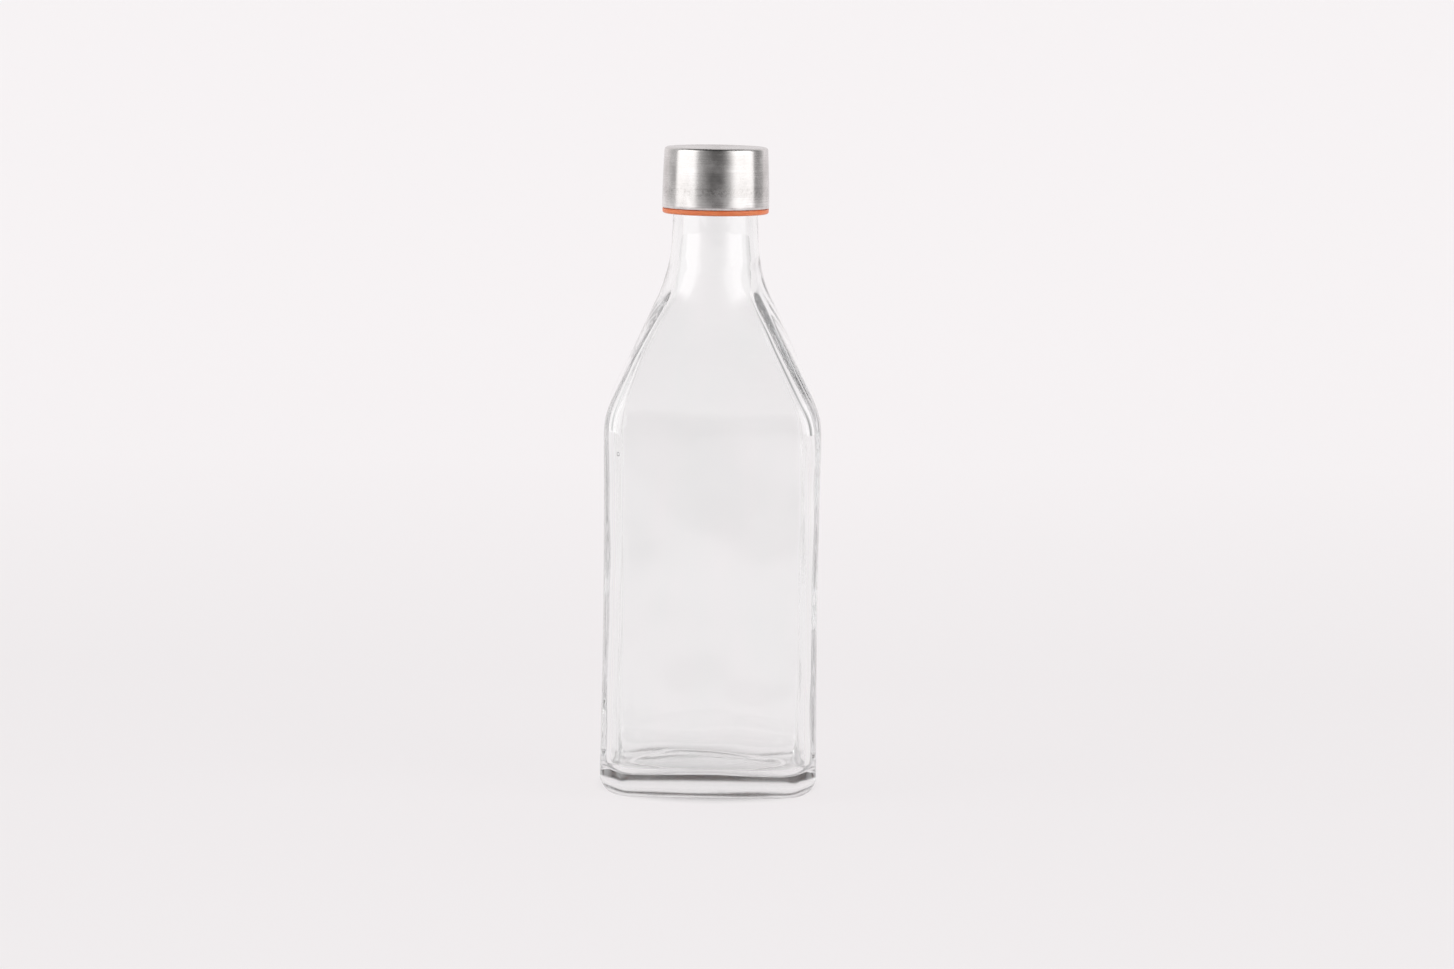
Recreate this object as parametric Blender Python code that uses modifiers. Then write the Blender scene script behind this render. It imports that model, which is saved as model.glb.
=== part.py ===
"""Square one-litre glass bottle with a steel screw cap.

Metres, +Z up. The origin is the centre of the flat ring that the bottle stands on, and +Z is its axis.
The flats of the body face +X, -X, +Y and -Y. Four pieces: glass_bottle, sealing_disc, thread_insert, cap_shell.
"""
import math
from collections import namedtuple

import bmesh
import bpy

# Glass body, square in plan
BODY_WIDTH = 0.0876         # across the flats, at the heel and where the shoulder begins
BODY_CORNER = 0.0080        # radius of the four upright corners, in plan
BODY_WAIST = 0.0006         # how far each wall draws in half way up
PANEL_SINK = 0.0005         # how far the middle of each flat sinks further
WALL_TOP = 0.1488           # height where the walls end and the shoulder begins
WALL = 0.0038               # glass thickness of walls, shoulder and neck

# Base
HEEL_RADIUS = 0.0098        # rounding between wall and base, outside
HEEL_LIFT = 0.0004          # how far the base rides up at the four corners
BEARING_SETBACK = 0.0010    # from the heel's rounding in to the flat ring that the bottle stands on
BEARING_WIDTH = 0.0055      # width of that ring
PUSH_UP = 0.0018            # height of the hollow inside the ring, in the middle
BASE_THICKNESS = 0.0100     # glass above the bearing ring
FLOOR_CROWN = 0.0012        # how far the inner floor rises in the middle
INNER_HEEL = 0.0060         # rounding between inner wall and inner floor

# Shoulder and neck
SHOULDER_LEAN = math.radians(24.2)  # lean of the straight part of the shoulder, from upright
SHOULDER_FILLET = 0.0322    # radius where the walls turn in to the shoulder
NECK_FILLET = 0.0650        # radius where the shoulder turns up to the neck
NECK_SWELL = 0.0002         # how far the neck stands out past the root of the thread, on the radius
NECK_LENGTH = 0.0059        # from the top of the shoulder to the finish

# Finish, the mouth that the cap screws on to
FINISH_DIAMETER = 0.0345    # outside of the finish, at the root of its thread
FINISH_WALL = 0.0034
FINISH_SPARE = 0.0010       # length of finish that shows below the cap
LIP_RADIUS = 0.0010         # rounding of the rim, inside and outside

# Cap, measured from the rim
SEAT_GAP = 0.0003           # clearance between pieces that touch on the real bottle
DISC_THICKNESS = 0.0014
ROOF_THICKNESS = 0.0015     # roof of the plastic insert
THREAD_ROOM = 0.0018        # from the finish out to the skirt, for the threads of both
SKIRT_WALL = 0.0018
SKIRT_DEPTH = 0.0225        # from the rim down to the lower edge of the insert
SKIRT_LEAD = 0.0006         # chamfer at the mouth of the skirt
ROOF_EDGE = 0.0012          # rounding of the insert's top edge
SHEET = 0.0006              # steel sheet of the shell
SHELL_TAPER = 0.0007        # how far the side closes in towards the top, on the radius
SHELL_EDGE = 0.0012         # rounding of the shell's top edge, outside
FLANGE_HEIGHT = 0.0020      # the ring of the insert that shows below the shell
FLANGE_SETBACK = 0.0001     # how far that ring stands back from the shell's side
FLANGE_EDGE = 0.0010        # rounding of the flange's lower edge

# Radii and heights that follow from these
BEARING_RADIUS = BODY_WIDTH / 2 - HEEL_RADIUS - BEARING_SETBACK
PUSH_UP_RADIUS = BEARING_RADIUS - BEARING_WIDTH
FINISH_RADIUS = FINISH_DIAMETER / 2
BORE_RADIUS = FINISH_RADIUS - FINISH_WALL
NECK_RADIUS = FINISH_RADIUS + NECK_SWELL
SKIRT_BORE_RADIUS = FINISH_RADIUS + THREAD_ROOM
SHELL_RADIUS = SKIRT_BORE_RADIUS + SKIRT_WALL + SEAT_GAP + SHEET
FLANGE_RADIUS = SHELL_RADIUS - FLANGE_SETBACK
DISC_TOP = SEAT_GAP + DISC_THICKNESS
ROOF_BOTTOM = DISC_TOP + SEAT_GAP
ROOF_TOP = ROOF_BOTTOM + ROOF_THICKNESS
SHELL_TOP = ROOF_TOP + SEAT_GAP + SHEET
FLANGE_TOP = FLANGE_HEIGHT - SKIRT_DEPTH
SHELL_BOTTOM = FLANGE_TOP + SEAT_GAP

# The straight part of the shoulder runs between its two fillets, and the finish stands on the neck
CONE_START_HALF = BODY_WIDTH / 2 - SHOULDER_FILLET * (1 - math.cos(SHOULDER_LEAN))
CONE_END_HALF = NECK_RADIUS + NECK_FILLET * (1 - math.cos(SHOULDER_LEAN))
CONE_START = WALL_TOP + SHOULDER_FILLET * math.sin(SHOULDER_LEAN)
CONE_END = CONE_START + (CONE_START_HALF - CONE_END_HALF) / math.tan(SHOULDER_LEAN)
NECK_BASE = CONE_END + NECK_FILLET * math.sin(SHOULDER_LEAN)
FINISH_BASE = NECK_BASE + NECK_LENGTH
RIM = FINISH_BASE + FINISH_SPARE + SKIRT_DEPTH

# Facets
SIDE_FACETS = 3             # facets along half of one flat
CORNER_FACETS = 8           # facets round one corner
FILLET_FACETS = 6           # levels along a fillet of the bottle
EDGE_FACETS = 4             # facets round a small edge
TURN_FACETS = 64            # facets round a turned piece
MERGE_DISTANCE = 0.000001

# How the square body turns round: shares of the shoulder's height, and the law between them
ROUND_END_SHARE = 0.75
ROUNDING_POWER = 3.3
WALL_LEVEL_SHARES = (0.10, 0.25, 0.42, 0.60, 0.78, 0.92)
CONE_LEVEL_SHARES = (0.2, 0.4, 0.6, 0.8, 1.0)
DOME_SHARES = (0.35, 0.65, 0.88)
FLOOR_SHARES = (0.70, 0.35)
SIDE_LEVEL_SHARES = (0.75, 0.5, 0.25, 0.0)

# One level of the bottle: half width, corner radius while square, height, share of the way from square
# to round, sink of the flats and lift of the corners
Level = namedtuple("Level", "half corner height round_share sink lift", defaults=(0.0, 0.0, 0.0))


def clear_scene():
    for thing in list(bpy.data.objects):
        bpy.data.objects.remove(thing, do_unlink=True)


def make_collection(name):
    collection = bpy.data.collections.new(name)
    bpy.context.scene.collection.children.link(collection)
    return collection


def make_material(name, colour, roughness, metallic=0.0, transmission=0.0, ior=1.5):
    material = bpy.data.materials.new(name)
    material.use_nodes = True
    shader = material.node_tree.nodes["Principled BSDF"]
    shader.inputs["Base Color"].default_value = (*colour, 1.0)
    shader.inputs["Roughness"].default_value = roughness
    shader.inputs["Metallic"].default_value = metallic
    shader.inputs["Transmission Weight"].default_value = transmission
    shader.inputs["IOR"].default_value = ior
    material.diffuse_color = (*colour, 1.0)
    return material


def add_object(name, mesh, material, collection, parent=None):
    piece = bpy.data.objects.new(name, mesh)
    mesh.materials.append(material)
    collection.objects.link(piece)
    piece.parent = parent
    return piece


def arc(centre_r, centre_z, radius, start_deg, end_deg, facets):
    """Points (r, z) round an arc in the plane of a profile, both ends included."""
    points = []
    for step in range(facets + 1):
        angle = math.radians(start_deg + (end_deg - start_deg) * step / facets)
        points.append((centre_r + radius * math.cos(angle), centre_z + radius * math.sin(angle)))
    return points


# Glass bottle

def quarter_angles(half, corner, evenness):
    """Plan angles of one quarter's points: spread along flats and corner, or evenly on a round level."""
    flat = half - corner
    eighth = [math.atan2(flat * step / SIDE_FACETS, half) for step in range(SIDE_FACETS)]
    for step in range(CORNER_FACETS // 2 + 1):
        turn = math.pi / 2 * step / CORNER_FACETS
        eighth.append(math.atan2(flat + corner * math.sin(turn), flat + corner * math.cos(turn)))
    square = eighth + [math.pi / 2 - angle for angle in reversed(eighth[1:-1])]
    count = len(square)
    even = [math.pi / 2 * step / count for step in range(count)]
    return [one + (other - one) * evenness for one, other in zip(square, even)]


def plan_radius(angle, half, corner, sink):
    """Distance from the axis to the rounded square, at a plan angle within one quarter."""
    folded = min(angle, math.pi / 2 - angle)
    flat = half - corner
    across = half * math.tan(folded)
    if across < flat:
        sunk = half - sink * (1 - (across / flat) ** 2) ** 2
        return sunk / math.cos(folded)
    along = flat * (math.cos(folded) + math.sin(folded))
    return along + math.sqrt(max(along ** 2 - 2 * flat ** 2 + corner ** 2, 0.0))


def level_points(level):
    """The points of one level, counter-clockwise as seen from above."""
    roundness = level.round_share ** ROUNDING_POWER
    corner = level.corner + (level.half - level.corner) * roundness
    points = []
    for quarter in range(4):
        for angle in quarter_angles(level.half, corner, level.round_share):
            radius = plan_radius(angle, level.half, corner, level.sink)
            height = level.height + level.lift * math.sin(2 * angle) ** 4
            plan = angle + quarter * math.pi / 2
            points.append((radius * math.cos(plan), radius * math.sin(plan), height))
    return points


def loft(name, start_height, levels, end_height):
    """A closed mesh through the levels, closed by a point on the axis at each end."""
    shape = bmesh.new()
    start = shape.verts.new((0, 0, start_height))
    rings = [[shape.verts.new(point) for point in level_points(level)] for level in levels]
    end = shape.verts.new((0, 0, end_height))
    count = len(rings[0])
    for here in range(count):
        after = (here + 1) % count
        shape.faces.new((start, rings[0][after], rings[0][here]))
        shape.faces.new((end, rings[-1][here], rings[-1][after]))
        for lower, upper in zip(rings, rings[1:]):
            shape.faces.new((lower[here], lower[after], upper[after], upper[here]))
    mesh = bpy.data.meshes.new(name)
    shape.to_mesh(mesh)
    shape.free()
    mesh.shade_smooth()
    mesh.set_sharp_from_angle(angle=math.radians(40))
    return mesh


def shoulder_share(height):
    """How far a level has gone from square to round, 0 on the walls and 1 where the ridges have faded."""
    share = (height - WALL_TOP) / (NECK_BASE - WALL_TOP) / ROUND_END_SHARE
    return min(max(share, 0.0), 1.0)


def outer_levels():
    """The outside of the glass from the heel's top to the root of the finish."""
    half_width = BODY_WIDTH / 2
    levels = []
    for share in (0.0,) + WALL_LEVEL_SHARES:
        draw = math.sin(math.pi * share)
        height = HEEL_RADIUS + (WALL_TOP - HEEL_RADIUS) * share
        levels.append((half_width - BODY_WAIST * draw, height, PANEL_SINK * draw))

    lean = math.degrees(SHOULDER_LEAN)
    fillet = arc(half_width - SHOULDER_FILLET, WALL_TOP, SHOULDER_FILLET, 0, lean, FILLET_FACETS)
    levels += [(half, height, 0.0) for half, height in fillet]
    for share in CONE_LEVEL_SHARES:
        half = CONE_START_HALF + (CONE_END_HALF - CONE_START_HALF) * share
        levels.append((half, CONE_START + (CONE_END - CONE_START) * share, 0.0))
    throat = arc(NECK_RADIUS + NECK_FILLET, NECK_BASE, NECK_FILLET, 180 + lean, 180, FILLET_FACETS)
    levels += [(half, height, 0.0) for half, height in throat[1:]]
    levels.append((FINISH_RADIUS, FINISH_BASE, 0.0))
    return [
        Level(half, BODY_CORNER, height, shoulder_share(height), sink)
        for half, height, sink in levels
    ]


def inner_levels(outer):
    """The same skin moved in by the wall, square to the outside, top to bottom."""
    levels = []
    for below, here, above in zip(outer, outer[1:], outer[2:]):
        run = above.half - below.half
        rise = above.height - below.height
        length = math.hypot(run, rise)
        levels.append(here._replace(
            half=here.half - WALL * rise / length,
            corner=BODY_CORNER - WALL,
            height=here.height - WALL * -run / length,
        ))
    return levels[::-1]


def base_levels():
    """The underside from the hollow out to the heel, whose corners ride up."""
    dome = [
        Level(PUSH_UP_RADIUS * share, 0.0, PUSH_UP * math.cos(math.pi / 2 * share) ** 2, 1.0)
        for share in DOME_SHARES
    ]
    ring = [Level(PUSH_UP_RADIUS, 0.0, 0.0, 1.0), Level(BEARING_RADIUS, 0.0, 0.0, 1.0)]
    heel_arc = arc(BODY_WIDTH / 2 - HEEL_RADIUS, HEEL_RADIUS, HEEL_RADIUS, -90, 0, FILLET_FACETS)
    heel = [
        Level(half, BODY_CORNER, height, 0.0, 0.0, HEEL_LIFT * (1 - height / HEEL_RADIUS))
        for half, height in heel_arc[:-1]
    ]
    return dome + ring + heel


def rim_levels():
    """The rounded rim, from the outside of the finish over to the bore."""
    lip = arc(FINISH_RADIUS - LIP_RADIUS, RIM - LIP_RADIUS, LIP_RADIUS, 0, 90, EDGE_FACETS)
    lip += arc(BORE_RADIUS + LIP_RADIUS, RIM - LIP_RADIUS, LIP_RADIUS, 90, 180, EDGE_FACETS)
    return [Level(radius, 0.0, height, 1.0) for radius, height in lip]


def floor_levels():
    """The inside from the foot of the walls in to the crowned floor."""
    foot_half = BODY_WIDTH / 2 - WALL
    floor_half = foot_half - INNER_HEEL
    corner = BODY_CORNER - WALL
    foot = arc(floor_half, BASE_THICKNESS + INNER_HEEL, INNER_HEEL, 0, -90, FILLET_FACETS)
    levels = []
    for step, (half, height) in enumerate(foot):
        levels.append(Level(half, corner + INNER_HEEL * step / FILLET_FACETS, height))
    for share in FLOOR_SHARES:
        rise = FLOOR_CROWN * math.cos(math.pi / 2 * share) ** 2
        levels.append(Level(floor_half * share, corner + INNER_HEEL, BASE_THICKNESS + rise, 1.0))
    return levels


def bottle_levels():
    """Every level of the glass, in the order of one closed profile."""
    outer = outer_levels()
    bore_foot = Level(BORE_RADIUS, 0.0, FINISH_BASE, 1.0)
    wall_foot = BASE_THICKNESS + 2 * INNER_HEEL
    walls = [level for level in inner_levels(outer) if level.height > wall_foot]
    return base_levels() + outer + rim_levels() + [bore_foot] + walls + floor_levels()


def make_glass_bottle(collection):
    """The hollow body, lofted in one skin from the square base to the round mouth and back down inside."""
    glass = make_material("clear_glass", (0.95, 0.97, 0.96), 0.02, transmission=1.0, ior=1.52)
    mesh = loft("glass_bottle", PUSH_UP, bottle_levels(), BASE_THICKNESS + FLOOR_CROWN)
    return add_object("glass_bottle", mesh, glass, collection)


# Cap

def turned_piece(name, profile, material, collection, parent):
    """A profile of (r, z) points, from the axis down the outside and back to the axis, turned about Z."""
    mesh = bpy.data.meshes.new(name)
    points = [(radius, 0, height) for radius, height in profile]
    edges = [(index, index + 1) for index in range(len(points) - 1)]
    mesh.from_pydata(points, edges, [])
    piece = add_object(name, mesh, material, collection, parent)
    screw = piece.modifiers.new("turn", "SCREW")
    screw.axis = "Z"
    screw.steps = TURN_FACETS
    screw.render_steps = TURN_FACETS
    screw.use_merge_vertices = True
    screw.merge_threshold = MERGE_DISTANCE
    screw.use_smooth_shade = True
    return piece


def shell_radius(height):
    """Outside of the shell's side, which closes in more and more towards the top."""
    share = (height - SHELL_BOTTOM) / (SHELL_TOP - SHELL_EDGE - SHELL_BOTTOM)
    return SHELL_RADIUS - SHELL_TAPER * min(share, 1.0) ** 2


def side_points(top, inset):
    """Points down the shell's side, moved in by an inset, from a height down to the shell's lower edge."""
    heights = [SHELL_BOTTOM + (top - SHELL_BOTTOM) * share for share in SIDE_LEVEL_SHARES]
    return [(shell_radius(height) - inset, height) for height in heights]


def make_cap_shell(collection, parent):
    """The drawn steel cup, a sheet of one thickness."""
    steel = make_material("brushed_steel", (0.60, 0.59, 0.57), 0.32, metallic=1.0)
    edge_height = SHELL_TOP - SHELL_EDGE
    edge_radius = shell_radius(edge_height) - SHELL_EDGE
    outside = [(0.0, SHELL_TOP)] + arc(edge_radius, edge_height, SHELL_EDGE, 90, 0, EDGE_FACETS)
    outside += side_points(edge_height, 0.0)
    inside = [(0.0, SHELL_TOP - SHEET)]
    inside += arc(edge_radius, edge_height, SHELL_EDGE - SHEET, 90, 0, EDGE_FACETS)
    inside += side_points(edge_height, SHEET)
    return turned_piece("cap_shell", outside + inside[::-1], steel, collection, parent)


def make_thread_insert(collection, parent):
    """The plastic insert: a roof and a skirt inside the shell, and a flange that the shell stands on."""
    orange = make_material("orange_plastic", (0.79, 0.16, 0.05), 0.38)
    inset = SHEET + SEAT_GAP
    edge_height = ROOF_TOP - ROOF_EDGE
    edge_radius = shell_radius(edge_height) - inset - ROOF_EDGE
    outside = [(0.0, ROOF_TOP)] + arc(edge_radius, edge_height, ROOF_EDGE, 90, 0, EDGE_FACETS)
    outside += side_points(edge_height, inset)[:-1]
    outside += [(SHELL_RADIUS - inset, FLANGE_TOP), (FLANGE_RADIUS, FLANGE_TOP)]
    rounding = FLANGE_EDGE - SKIRT_DEPTH
    outside += arc(FLANGE_RADIUS - FLANGE_EDGE, rounding, FLANGE_EDGE, 0, -90, EDGE_FACETS)
    inside = [
        (SKIRT_BORE_RADIUS + SKIRT_LEAD, -SKIRT_DEPTH),
        (SKIRT_BORE_RADIUS, SKIRT_LEAD - SKIRT_DEPTH),
        (SKIRT_BORE_RADIUS, ROOF_BOTTOM),
        (0.0, ROOF_BOTTOM),
    ]
    return turned_piece("thread_insert", outside + inside, orange, collection, parent)


def make_sealing_disc(collection, parent):
    """The silicone disc, loose in the roof of the insert and flat on the rim."""
    silicone = make_material("white_silicone", (0.86, 0.86, 0.84), 0.45)
    radius = SKIRT_BORE_RADIUS - SEAT_GAP
    profile = [(0.0, DISC_TOP), (radius, DISC_TOP), (radius, SEAT_GAP), (0.0, SEAT_GAP)]
    return turned_piece("sealing_disc", profile, silicone, collection, parent)


def build():
    clear_scene()
    collection = make_collection("square_glass_bottle")
    make_glass_bottle(collection)
    cap_axis = bpy.data.objects.new("cap_axis", None)
    cap_axis.location = (0, 0, RIM)
    collection.objects.link(cap_axis)
    make_sealing_disc(collection, cap_axis)
    make_thread_insert(collection, cap_axis)
    make_cap_shell(collection, cap_axis)


build()
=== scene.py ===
"""Square one-litre glass bottle with a brushed steel screw cap: its looks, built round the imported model."""
import math

import bmesh
import bpy
from mathutils import Matrix, Vector


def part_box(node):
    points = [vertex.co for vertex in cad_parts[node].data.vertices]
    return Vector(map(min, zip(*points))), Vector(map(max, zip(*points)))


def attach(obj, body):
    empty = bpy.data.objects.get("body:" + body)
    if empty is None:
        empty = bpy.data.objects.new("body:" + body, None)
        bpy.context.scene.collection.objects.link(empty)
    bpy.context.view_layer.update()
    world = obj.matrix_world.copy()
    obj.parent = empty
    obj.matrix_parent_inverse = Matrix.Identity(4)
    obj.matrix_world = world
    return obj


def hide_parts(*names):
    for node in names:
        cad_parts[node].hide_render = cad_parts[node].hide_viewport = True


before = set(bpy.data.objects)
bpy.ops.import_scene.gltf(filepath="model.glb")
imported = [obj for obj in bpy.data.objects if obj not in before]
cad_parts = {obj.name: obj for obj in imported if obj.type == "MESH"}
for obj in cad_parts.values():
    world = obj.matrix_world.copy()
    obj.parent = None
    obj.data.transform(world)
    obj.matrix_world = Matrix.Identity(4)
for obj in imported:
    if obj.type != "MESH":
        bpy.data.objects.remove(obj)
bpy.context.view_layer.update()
bpy.ops.object.select_all(action="DESELECT")

# The glass bottle. One piece of clear flint glass, blown in a mould: the outside has the mould's shape, a
# square body with a hollow base whose four flats close in to a round neck, and the inside is free and wavy.
glass_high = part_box("glass_bottle")[1]
BODY_HALF = glass_high.x            # half the width across the flats
RIM = glass_high.z                  # height of the mouth
BODY_CORNER = 0.0080                # radius of the upright corners, in plan
INNER_CORNER = 0.0050
WALL = 0.0038
WALL_TOP = 0.1488                   # where the shoulder begins
WAIST = 0.0006                      # how far the walls draw in half way up
SINK = 0.0005                       # and the middle of each flat further
HEEL_RADIUS = 0.0098
HEEL_LIFT = 0.0004                  # how far the base rides up at the corners
FOOT_HALF = BODY_HALF - HEEL_RADIUS
BEARING_SETBACK = 0.001
BEARING_WIDTH = 0.0055
BEARING_RADIUS = FOOT_HALF - BEARING_SETBACK    # outside of the flat ring that the bottle stands on
HOLLOW_RADIUS = BEARING_RADIUS - BEARING_WIDTH
HOLLOW_HEIGHT = 0.0018
FLOOR = 0.0100                      # height of the inner floor at its edge
FLOOR_CROWN = 0.0012
INNER_HEEL = 0.006
FLOOR_ROUNDING = 0.003              # how much rounder the corners of the inner floor are
FINISH_RADIUS = 0.01725             # at the root of the thread
FINISH_LENGTH = 0.0235
FINISH_BASE = RIM - FINISH_LENGTH
NECK_RADIUS = FINISH_RADIUS + 0.0002
BORE_RADIUS = 0.01385
LIP_RADIUS = 0.0010
LEAN = math.radians(24.2)           # of the shoulder, from upright
SHOULDER_FILLET = 0.0322
NECK_FILLET = 0.065
ROUND_END = 0.75                    # share of the shoulder's height where the ridges have faded
RIDGE_FADE = 3.3                    # how late they fade: 1 is evenly all the way
CALM_NECK = 0.02                    # length below the finish where the inside is still true
WAVE_SPACING = 0.040
WAVE_HEIGHT = 0.0022                # from the deepest trough to the highest crest
DRIFT = 0.0013                      # how far the blown inside lies off the middle at the shoulder
DRIFT_FROM = 0.14                   # height where it starts to
BUBBLE_RADIUS = 0.0006
BUBBLE_STRETCH = 1.4
BUBBLE_PLACE = (-0.0375, -0.0420, 0.1408)
CORNER_CUTS = 6                     # segments round one corner
SIDE_CUTS = 8                       # segments along one flat
PITCH = 0.0254 / 6                  # six threads to the inch, right-handed
THREAD_TURNS = 1.3
THREAD_TOP = RIM - 0.0035           # where its middle line ends below the mouth
THREAD_RUN_OUT = 0.08               # turns in which it rises at either end
THREAD_HEIGHT = 0.00115
THREAD_WIDTH = 0.0021
THREAD_CREST = 0.7                  # share of its width that is flat
THREAD_FLANK = 0.45
THREAD_LAPS = 2                     # most laps of it that one upright line crosses


def ring_measures(mesh):
    """Half width, diagonal and mean radius of the selected loop, and its height."""
    points = [v.co for v in bmesh.from_edit_mesh(mesh).verts if v.select]
    reach = [math.hypot(p.x, p.y) for p in points]
    half = max(max(abs(p.x), abs(p.y)) for p in points)
    return half, max(reach), sum(reach) / len(reach), sum(p.z for p in points) / len(points)


def shape_loop(mesh, half, height, diagonal=None):
    """Brings the selected loop to a height and half width, rounded until its diagonal has that length."""
    old_half, old_diagonal, mean, old_height = ring_measures(mesh)
    bpy.ops.transform.translate(value=(0, 0, height - old_height))
    if diagonal is not None:
        ratio = diagonal / half
        rounding = (old_diagonal - ratio * old_half) / (old_diagonal - mean + ratio * (mean - old_half) or 1)
        if rounding > 0.0001:
            bpy.ops.transform.tosphere(value=min(rounding, 1.0), center_override=(0, 0, height))
            old_half = ring_measures(mesh)[0]
    scale = half / old_half
    bpy.ops.transform.resize(value=(scale, scale, 1), center_override=(0, 0, height))


def even_loop(mesh, share):
    """Slides the points of the selected round loop towards even spacing."""
    points = [v for v in bmesh.from_edit_mesh(mesh).verts if v.select]
    points.sort(key=lambda v: math.atan2(v.co.y, v.co.x))
    step = 2 * math.pi / len(points)
    middle = sum(math.atan2(v.co.y, v.co.x) - step * i for i, v in enumerate(points)) / len(points)
    for index, point in enumerate(points):
        turn = math.atan2(point.co.y, point.co.x)
        turn += (middle + step * index - turn) * share
        radius = math.hypot(point.co.x, point.co.y)
        point.co.x, point.co.y = radius * math.cos(turn), radius * math.sin(turn)
    bmesh.update_edit_mesh(mesh)


def grow_loops(mesh, levels, evened=0):
    """Extrudes the selected loop through levels of (half width, height, diagonal)."""
    for index, level in enumerate(levels):
        bpy.ops.mesh.extrude_region_move()
        shape_loop(mesh, *level)
        left = len(levels) - index
        if left <= evened:
            even_loop(mesh, 1 / left)


def select_loop(mesh, height, tolerance=0.00002):
    """Selects the open loop of edges at a height, and nothing else."""
    bpy.ops.mesh.select_all(action="DESELECT")
    shape = bmesh.from_edit_mesh(mesh)
    for edge in shape.edges:
        if edge.is_boundary and all(abs(v.co.z - height) < tolerance for v in edge.verts):
            edge.select_set(True)
    bmesh.update_edit_mesh(mesh)


def square_face(half, corner, height):
    """A square face with rounded corners, its sides cut into segments, as the start of a skin."""
    bpy.ops.mesh.primitive_plane_add(size=2 * half)
    mesh = bpy.context.object.data
    bpy.ops.object.mode_set(mode="EDIT")
    bpy.ops.mesh.select_all(action="SELECT")
    bpy.ops.transform.translate(value=(0, 0, height))
    bpy.ops.mesh.bevel(offset=corner, segments=CORNER_CUTS, affect="VERTICES")
    bpy.ops.mesh.select_all(action="DESELECT")
    shape = bmesh.from_edit_mesh(mesh)
    for edge in shape.edges:
        if edge.calc_length() > corner:
            edge.select_set(True)
    bmesh.update_edit_mesh(mesh)
    bpy.ops.mesh.subdivide(number_cuts=SIDE_CUTS - 1)
    flat = half - corner
    for vertex in bmesh.from_edit_mesh(mesh).verts:
        along = 0 if abs(vertex.co.x) < abs(vertex.co.y) else 1
        if abs(vertex.co[along]) < flat - 0.0001:
            vertex.co[along] = flat * math.sin(vertex.co[along] / flat * math.pi / 2)
    bmesh.update_edit_mesh(mesh)
    bpy.ops.mesh.select_all(action="SELECT")
    return bpy.context.object


def corner_diagonal(half, corner):
    """Half the diagonal of a square with rounded corners."""
    return (half - corner) * math.sqrt(2) + corner


def arc(centre, height, radius, start, end, steps):
    """Points (r, z) along an arc, its start left out."""
    turns = [math.radians(start + (end - start) * step / steps) for step in range(1, steps + 1)]
    return [(centre + radius * math.cos(turn), height + radius * math.sin(turn)) for turn in turns]


def body_levels(wall):
    """The square body, the shoulder and the neck, a wall's thickness in from the outside."""
    lean = math.degrees(LEAN)
    profile = []
    for share in (0.02, 0.05, 0.1, 0.17, 0.3, 0.45, 0.6, 0.75, 0.89):
        height = HEEL_RADIUS + (WALL_TOP - HEEL_RADIUS) * share
        profile.append((BODY_HALF - WAIST * math.sin(math.pi * share), height))
    profile.append((BODY_HALF, WALL_TOP))
    profile += arc(BODY_HALF - SHOULDER_FILLET, WALL_TOP, SHOULDER_FILLET, 0, lean, 4)
    start_half, start_height = profile[-1]
    end_half = NECK_RADIUS + NECK_FILLET * (1 - math.cos(LEAN))
    rise = (start_half - end_half) / math.tan(LEAN)
    for share in (0.17, 0.34, 0.51, 0.68, 0.85, 1.0):
        profile.append((start_half + (end_half - start_half) * share, start_height + rise * share))
    neck_base = start_height + rise + NECK_FILLET * math.sin(LEAN)
    profile += arc(NECK_RADIUS + NECK_FILLET, neck_base, NECK_FILLET, 180 + lean, 180, 5)
    corner = BODY_CORNER if wall == 0 else INNER_CORNER
    levels = []
    for index, (half, height) in enumerate(profile):
        below = profile[max(index - 1, 0)]
        above = profile[min(index + 1, len(profile) - 1)]
        slope = math.atan2(below[0] - above[0], above[1] - below[1])
        inner_half = half - wall * math.cos(slope)
        share = min(max((height - WALL_TOP) / (neck_base - WALL_TOP) / ROUND_END, 0), 1)
        rounded = corner + (inner_half - corner) * share ** RIDGE_FADE
        levels.append((inner_half, height - wall * math.sin(slope), corner_diagonal(inner_half, rounded)))
    return levels


def finish_heights(count):
    """Even heights from the foot of the finish to the lip."""
    return [FINISH_BASE + (RIM - LIP_RADIUS - FINISH_BASE) * step / count for step in range(count + 1)]


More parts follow.
